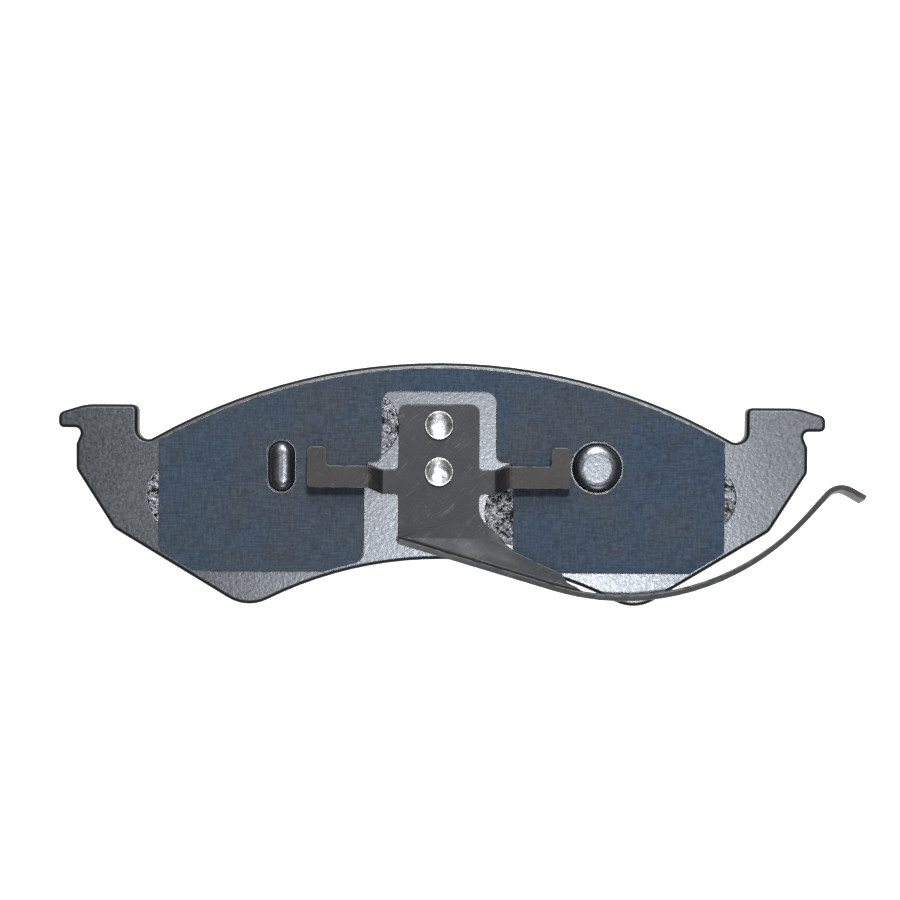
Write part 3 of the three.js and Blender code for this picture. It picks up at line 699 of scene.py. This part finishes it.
def grain_tree():
    """Scatters small angular grains over a surface and returns the grains alone."""
    inputs = {
        "Surface": "Geometry",
        "Spacing": "Float",
        "Grain size": "Float",
        "Seed": "Int",
        "Finish": "Material",
    }
    tree, node, link = new_tree("compound_grains", inputs, "Grains")
    start = node("NodeGroupInput")
    end = node("NodeGroupOutput")
    scatter = node("GeometryNodeDistributePointsOnFaces", distribute_method="POISSON")
    stone = node("GeometryNodeMeshIcoSphere")
    stone.inputs["Subdivisions"].default_value = 1
    turn = node("FunctionNodeRandomValue", data_type="FLOAT_VECTOR")
    turn.inputs["Max"].default_value = (math.tau, math.tau, math.tau)
    size = node("FunctionNodeRandomValue", data_type="FLOAT_VECTOR")
    size.inputs["Min"].default_value = (0.35, 0.35, 0.25)
    size.inputs["Max"].default_value = (1.0, 1.0, 0.7)
    copies = node("GeometryNodeInstanceOnPoints")
    real = node("GeometryNodeRealizeInstances")
    paint = node("GeometryNodeSetMaterial")
    link(start.outputs["Surface"], scatter.inputs["Mesh"])
    link(start.outputs["Spacing"], scatter.inputs["Distance Min"])
    scatter.inputs["Density Max"].default_value = 1 / (0.4 * MM) ** 2
    link(start.outputs["Seed"], scatter.inputs["Seed"])
    link(start.outputs["Seed"], turn.inputs["Seed"])
    link(start.outputs["Grain size"], stone.inputs["Radius"])
    link(scatter.outputs["Points"], copies.inputs["Points"])
    link(stone.outputs["Mesh"], copies.inputs["Instance"])
    link(turn.outputs["Value"], copies.inputs["Rotation"])
    link(size.outputs["Value"], copies.inputs["Scale"])
    link(copies.outputs["Instances"], real.inputs["Geometry"])
    link(real.outputs["Geometry"], paint.inputs["Geometry"])
    link(start.outputs["Finish"], paint.inputs["Material"])
    link(paint.outputs["Geometry"], end.inputs["Grains"])
    return tree


def run_tree(piece, tree, values):
    """Runs a node tree on a piece with its inputs set by name, and keeps the plain mesh."""
    modifier = piece.modifiers.new(tree.name, "NODES")
    modifier.node_group = tree
    for item in tree.interface.items_tree:
        if item.in_out == "INPUT" and item.name in values:
            modifier[item.identifier] = values[item.name]
    return settle(piece)


def make_key_compound():
    tree = grain_tree()
    for number, centre in enumerate(KEY_HOLES, start=1):
        top = place(crust(centre), f"keying_compound_{number}", COMPOUND)
        finish_piece(top, "pad", "underlayer_compound")
        grains = place(crust_face(centre), f"keying_grains_{number}", COMPOUND)
        values = {
            "Spacing": GRAIN_SPACING,
            "Grain size": 0.26 * MM,
            "Seed": number,
            "Finish": COMPOUND,
        }
        run_tree(grains, tree, values)
        finish_piece(grains, "pad", "underlayer_compound")


def crust_face(centre):
    """Only the craggy top of the crust, kept off the hole's wall, for grains to lie on."""
    bm = crust(centre)
    reach = KEY_HOLE_RADIUS - 0.5 * MM
    low = plug_top
    spare = [
        f
        for f in bm.faces
        if min(v.co.z for v in f.verts) < low
        or max((v.co.xy - centre).length for v in f.verts) > reach
    ]
    bmesh.ops.delete(bm, geom=spare, context="FACES")
    return bm


make_lining()
make_underlayer()
make_key_compound()


# ---------- noise shim ----------


def shrink_prism(bm, distance, unevenness):
    """Moves an extruded outline inwards, in plane, by an uneven distance."""
    moves = {}
    for vertex in bm.verts:
        walls = [f.normal for f in vertex.link_faces if abs(f.normal.z) < 0.5]
        side = sum(walls, Vector((0, 0, 0)))
        if side.length < 1e-6:
            continue
        side.normalize()
        shift = distance + unevenness * noise.noise(vertex.co / (1.3 * MM))
        moves[vertex] = side * -shift
    for vertex, move in moves.items():
        vertex.co += move


def divide_walls(bm, spacing):
    """Cuts long outline edges so that an uneven edge has points to follow."""
    long_edges = [e for e in bm.edges if is_corner(e) and e.calc_length() > 2 * spacing]
    for edge in long_edges:
        cuts = int(edge.calc_length() / spacing)
        bmesh.ops.subdivide_edges(bm, edges=[edge], cuts=min(cuts, 60))


def make_shim():
    core = cad_mesh("shim_core")
    bevel(core, [e for e in core.edges if at_height(e, rubber_bottom) and is_corner(e)], CUT_EDGE, 3)
    steel = place(core, "shim_steel_core", SHIM_STEEL)
    even_normals(steel)
    finish_piece(steel, "pad", "shim_steel", "shim_core")
    rubber = cad_mesh("shim_outer_rubber")
    divide_walls(rubber, 0.9 * MM)
    shrink_prism(rubber, RUBBER_BACK, 0.1 * MM)
    coating = place(rubber, "shim_back_rubber", RUBBER, smooth=False)
    finish_piece(coating, "pad", "shim_rubber", "shim_outer_rubber")
    dress("shim_inner_rubber", RUBBER)
    dress("shim_adhesive", FILM)


def dress(node, finish):
    """Gives a CAD node its finish."""
    mesh = nodes[node].data
    mesh.materials.clear()
    mesh.materials.append(finish)


make_shim()


# ---------- bond line ----------


def bead_tree():
    """A rope of adhesive along a closed line of points."""
    inputs = {"Line": "Geometry", "Bead radius": "Float", "Step": "Float", "Finish": "Material"}
    tree, node, link = new_tree("adhesive_bead", inputs, "Bead")
    start = node("NodeGroupInput")
    end = node("NodeGroupOutput")
    curve = node("GeometryNodeMeshToCurve")
    even = node("GeometryNodeResampleCurve", mode="LENGTH")
    lump = node("ShaderNodeTexNoise")
    lump.inputs["Scale"].default_value = 1 / (3 * MM)
    swell = node("ShaderNodeMapRange")
    swell.inputs[1].default_value = 0.3
    swell.inputs[2].default_value = 0.7
    swell.inputs[3].default_value = 0.35
    swell.inputs[4].default_value = 1.0
    ring = node("GeometryNodeCurvePrimitiveCircle")
    ring.inputs["Resolution"].default_value = 8
    rope = node("GeometryNodeCurveToMesh")
    smooth = node("GeometryNodeSetShadeSmooth")
    real = node("GeometryNodeRealizeInstances")
    paint = node("GeometryNodeSetMaterial")
    link(start.outputs["Line"], curve.inputs["Mesh"])
    link(curve.outputs["Curve"], even.inputs["Curve"])
    link(start.outputs["Step"], even.inputs["Length"])
    link(lump.outputs[0], swell.inputs["Value"])
    link(start.outputs["Bead radius"], ring.inputs["Radius"])
    link(even.outputs["Curve"], rope.inputs["Curve"])
    link(ring.outputs["Curve"], rope.inputs["Profile Curve"])
    link(swell.outputs[0], rope.inputs["Scale"])
    link(rope.outputs["Mesh"], smooth.inputs["Geometry"])
    link(smooth.outputs["Geometry"], real.inputs["Geometry"])
    link(real.outputs["Geometry"], paint.inputs["Geometry"])
    link(start.outputs["Finish"], paint.inputs["Material"])
    link(paint.outputs["Geometry"], end.inputs["Bead"])
    return tree


def outer_loop(node, height):
    """The longest closed edge loop of a node at one height, as a mesh of edges alone."""
    bm = cad_mesh(node)
    edges = [e for e in bm.edges if at_height(e, height, 0.01 * MM) and is_corner(e)]
    loops = []
    left = set(edges)
    while left:
        todo = [left.pop()]
        loop = list(todo)
        while todo:
            edge = todo.pop()
            touching = {e for v in edge.verts for e in v.link_edges} & left
            left -= touching
            loop += touching
            todo += touching
        loops.append(loop)
    longest = max(loops, key=lambda loop: sum(e.calc_length() for e in loop))
    line = bmesh.new()
    known = {}
    for edge in longest:
        ends = []
        for v in edge.verts:
            if v not in known:
                known[v] = line.verts.new(v.co)
            ends.append(known[v])
        line.edges.new(ends)
    bm.free()
    return line


def make_bond():
    dress("bond_film", ADHESIVE)
    line = outer_loop("bond_film", film_top)
    bead = place(line, "bond_squeeze_out", ADHESIVE)
    values = {"Bead radius": 0.28 * MM, "Step": 0.7 * MM, "Finish": ADHESIVE}
    run_tree(bead, bead_tree(), values)
    finish_piece(bead, "pad", "bond_adhesive")


make_bond()


# ---------- spring clip ----------


def cut(bm, x):
    """Adds the edges where the plane square to X at this place crosses the mesh."""
    everything = bm.verts[:] + bm.edges[:] + bm.faces[:]
    bmesh.ops.bisect_plane(
        bm, geom=everything, dist=CUT_SLACK, plane_co=(x, 0, 0), plane_no=(1, 0, 0)
    )


def keep_faces(bm, wanted):
    spare = [f for f in bm.faces if not wanted(f.calc_center_median())]
    bmesh.ops.delete(bm, geom=spare, context="FACES")


def close(bm):
    open_edges = [e for e in bm.edges if e.is_boundary]
    if open_edges:
        bmesh.ops.holes_fill(bm, edges=open_edges, sides=0)
    bmesh.ops.recalc_face_normals(bm, faces=bm.faces)


def bridge_gap(bm, low, high):
    """Joins the two ends that face each other across a flexure gap between two X values."""
    slack = 0.12 * MM
    caps = []
    for face in bm.faces:
        xs = [v.co.x for v in face.verts]
        if min(xs) > low - slack and max(xs) < high + slack:
            caps.append(face)
    bmesh.ops.delete(bm, geom=caps, context="FACES")
    loose = [e for e in bm.edges if not e.link_faces]
    bmesh.ops.delete(bm, geom=loose, context="EDGES")
    rims = [e for e in bm.edges if e.is_boundary]
    rims = [e for e in rims if all(low - slack < v.co.x < high + slack for v in e.verts)]
    bmesh.ops.bridge_loops(bm, edges=rims)
    bm.normal_update()


def arm_root_side(side):
    return CLIP_MIDDLE + side * (CLIP_HALF + ARM_CUT)


def flange_end():
    return leg_low.x - FLEX_GAP


def leg_cut():
    return flange_end() - LEG_CUT


def in_arm_root(spot, side):
    beyond = side * (spot.x - arm_root_side(side)) > 0
    return beyond and spot.y > -5 * MM


def make_clip_sheet():
    bm = cad_mesh("clip_plate")
    for x in (arm_root_side(1), arm_root_side(-1), leg_cut()):
        cut(bm, x)
    keep_faces(
        bm,
        lambda c: not in_arm_root(c, 1) and not in_arm_root(c, -1) and c.x < leg_cut(),
    )
    outer = [e for e in bm.edges if e.is_convex and bend_side(e, -1) and e.is_manifold]
    bevel(bm, [e for e in outer if below(e, leg_cut() - 1 * MM)], BEND_OUTER, 5)
    inner = [e for e in bm.edges if not e.is_convex and bend_side(e, 1) and e.is_manifold]
    bevel(bm, [e for e in inner if below(e, leg_cut() - 1 * MM)], BEND_INNER, 4)
    round_rims(bm)
    close(bm)
    for x in (arm_root_side(-1), arm_root_side(1), leg_cut()):
        sharpen_seam(bm, x)
    sheet = place(bm, "clip_sheet", SPRING_STEEL)
    even_normals(sheet)
    finish_piece(sheet, "pad", "clip_steel", "clip_plate")


def below(edge, x):
    return all(v.co.x < x for v in edge.verts)


def bend_side(edge, side):
    """True where the flange's wall on the hub side (-1) or inside (1) meets the sheet."""
    if len(edge.link_faces) != 2:
        return False
    flat = [f for f in edge.link_faces if side * f.normal.z > 0.7]
    wall = [f for f in edge.link_faces if abs(f.normal.z) < 0.3 and side * f.normal.y > 0.6]
    return len(flat) == 1 and len(wall) == 1


def round_rims(bm):
    rims = [e for e in bm.edges if e.is_convex and is_corner(e, 50)]
    # marks the rounded rims for bright worn metal, which is partly a painted edge highlight
    mark(bm, bevel(bm, rims, SHEET_ROLL, 2), lambda v: 1)


def with_root(node, x, wanted):
    """An arm or the leg, joined by the faces of the clip's sheet that are wanted beyond an X."""
    root = cad_mesh("clip_plate")
    cut(root, x)
    keep_faces(root, wanted)
    mesh = bpy.data.meshes.new("clip_root")
    root.to_mesh(mesh)
    root.free()
    bm = cad_mesh(node)
    bm.from_mesh(mesh)
    bpy.data.meshes.remove(mesh)
    return bm


def make_arm(side, node, body, name):
    bm = with_root(node, arm_root_side(side), lambda c: in_arm_root(c, side))
    flexure = CLIP_MIDDLE + side * (CLIP_HALF + ARM_FLEX)
    bridge_gap(bm, flexure - FLEX_GAP / 2, flexure + FLEX_GAP / 2)
    round_rims(bm)
    for step in range(1, ARM_CUTS + 1):
        cut(bm, arm_root_side(side) + side * step * FLEX_STEP)
    close(bm)
    sharpen_seam(bm, arm_root_side(side))
    arm = place(bm, name, SPRING_STEEL)
    even_normals(arm)
    start = (flexure - side * ARM_BLEND_LEAD, 0, 0)
    end = (flexure + side * ARM_BLEND, 0, 0)
    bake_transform(arm, "pad", body, start=start, end=end)
    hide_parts(node)


def make_leg():
    bm = with_root("clip_leg", leg_cut(), lambda c: c.x > leg_cut())
    bridge_gap(bm, flange_end(), leg_low.x)
    round_rims(bm)
    for step in range(1, LEG_CUTS + 1):
        cut(bm, leg_cut() + step * FLEX_STEP)
    close(bm)
    sharpen_seam(bm, leg_cut())
    leg = place(bm, "clip_spring_leg", SPRING_STEEL)
    even_normals(leg)
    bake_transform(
        leg,
        "pad",
        "leg",
        start=(leg_cut() + LEG_BLEND_LEAD, leg_low.y, 0),
        end=(leg_cut() + LEG_BLEND, leg_low.y, 0),
    )
    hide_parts("clip_leg")


make_clip_sheet()
make_arm(-1, "clip_arm_left", "left_arm", "clip_left_arm")
make_arm(1, "clip_arm_right", "right_arm", "clip_right_arm")
make_leg()


# ---------- rivets ----------
RIVET_SPOKES = 64
HEAD_RADIUS = 3.55 * MM
HEAD_HEIGHT = 1.1 * MM
DISH_RADIUS = 3.25 * MM
DISH_DEPTH = 0.8 * MM
HEAD_ROUNDING = 0.22 * MM
DENT = 0.16 * MM
COUNTERSINK = 1.5 * MM
LIP = 0.12 * MM
ROUNDING_STEPS = 6
DISH_STEPS = 12


def rivet_profile(low, top, widest):
    """Half section from the countersunk end to the middle of the dish, as radius and height."""
    shank = widest - COUNTERSINK
    seat = top - HEAD_HEIGHT
    points = [(widest, low), (shank, low + COUNTERSINK), (shank, seat), (HEAD_RADIUS, seat)]
    for i in range(ROUNDING_STEPS + 1):
        angle = math.pi / 2 * i / ROUNDING_STEPS
        r = HEAD_RADIUS - HEAD_ROUNDING * (1 - math.cos(angle))
        points.append((r, top - HEAD_ROUNDING * (1 - math.sin(angle))))
    for i in range(1, DISH_STEPS + 1):
        share = i / DISH_STEPS
        r = DISH_RADIUS * (1 - share)
        depth = DISH_DEPTH * (1 - (1 - share) ** 2.0)
        lip = LIP * math.exp(-share * 8)
        points.append((max(r, 0), top - depth + lip - LIP))
    return points


def make_rivet(node, name):
    low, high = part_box(node)
    middle = (low + high) / 2
    profile = rivet_profile(low.z, high.z, (high.x - low.x) / 2)
    bm = bmesh.new()
    rows = []
    for r, z in profile[:-1]:
        row = []
        for i in range(RIVET_SPOKES):
            angle = 2 * math.pi * i / RIVET_SPOKES
            x = middle.x + r * math.cos(angle)
            y = middle.y + r * math.sin(angle)
            dent = DENT * (noise.noise(Vector((x, y, 0)) / (1.6 * MM)) - 0.5)
            depth = max(0, 1 - r / DISH_RADIUS) if z > high.z - HEAD_HEIGHT else 0
            row.append(bm.verts.new((x, y, z + dent * min(1, 3 * depth))))
        rows.append(row)
    foot = bm.verts.new((middle.x, middle.y, low.z))
    pit = bm.verts.new((middle.x, middle.y, profile[-1][1]))
    for i in range(RIVET_SPOKES):
        j = (i + 1) % RIVET_SPOKES
        bm.faces.new((foot, rows[0][j], rows[0][i]))
        for lower, upper in zip(rows, rows[1:]):
            bm.faces.new((lower[i], lower[j], upper[j], upper[i]))
        bm.faces.new((rows[-1][i], rows[-1][j], pit))
    bmesh.ops.recalc_face_normals(bm, faces=bm.faces)
    rivet = place(bm, name, ZINC)
    even_normals(rivet)
    finish_piece(rivet, "pad", "rivet_zinc", node)


make_rivet("rivet_upper", "upper_rivet")
make_rivet("rivet_lower", "lower_rivet")


# ---------- floor and light ----------
FLOOR_DROP = 0.3 * MM


def make_floor():
    f = Finish("floor")
    tint = f.noise(0.4, 2)
    colour = f.blend(tint, (0.86, 0.86, 0.87), (0.9, 0.9, 0.9))
    material = f.surface(
        colour, 0.8, Emission_Color=(1, 1, 1, 1), Emission_Strength=1.15
    )
    bm = bmesh.new()
    bmesh.ops.create_grid(bm, x_segments=1, y_segments=1, size=2)
    bmesh.ops.translate(bm, verts=bm.verts, vec=(0, 0, cad_box[0].z - FLOOR_DROP))
    floor = place(bm, "floor", material, smooth=False)


def make_light(name, spot, size, power):
    """A soft round light that faces the origin."""
    data = bpy.data.lights.new(name, "AREA")
    data.shape = "DISK"
    data.size = size
    data.energy = power
    light = bpy.data.objects.new(name, data)
    light.location = spot
    towards = -Vector(spot)
    light.rotation_mode = "QUATERNION"
    light.rotation_quaternion = towards.to_track_quat("-Z", "Y")
    bpy.context.scene.collection.objects.link(light)


def make_world(strength):
    world = bpy.data.worlds.new("studio")
    world.use_nodes = True
    sky = world.node_tree.nodes["Background"]
    sky.inputs["Color"].default_value = (0.93, 0.96, 1, 1)
    sky.inputs["Strength"].default_value = strength
    bpy.context.scene.world = world


make_floor()
make_light("key", (0.066, 0.44, 1.0), 0.14, 7.5)
make_light("gloss", (0.056, -0.094, 0.9), 0.08, 1.3)
make_light("high_side", (0.0, 0.85, 0.75), 0.5, 4.6)
make_light("low_side", (0.1, -0.8, 0.8), 0.5, 2)
make_world(0.06)
bpy.context.scene.view_settings.view_transform = "Standard"
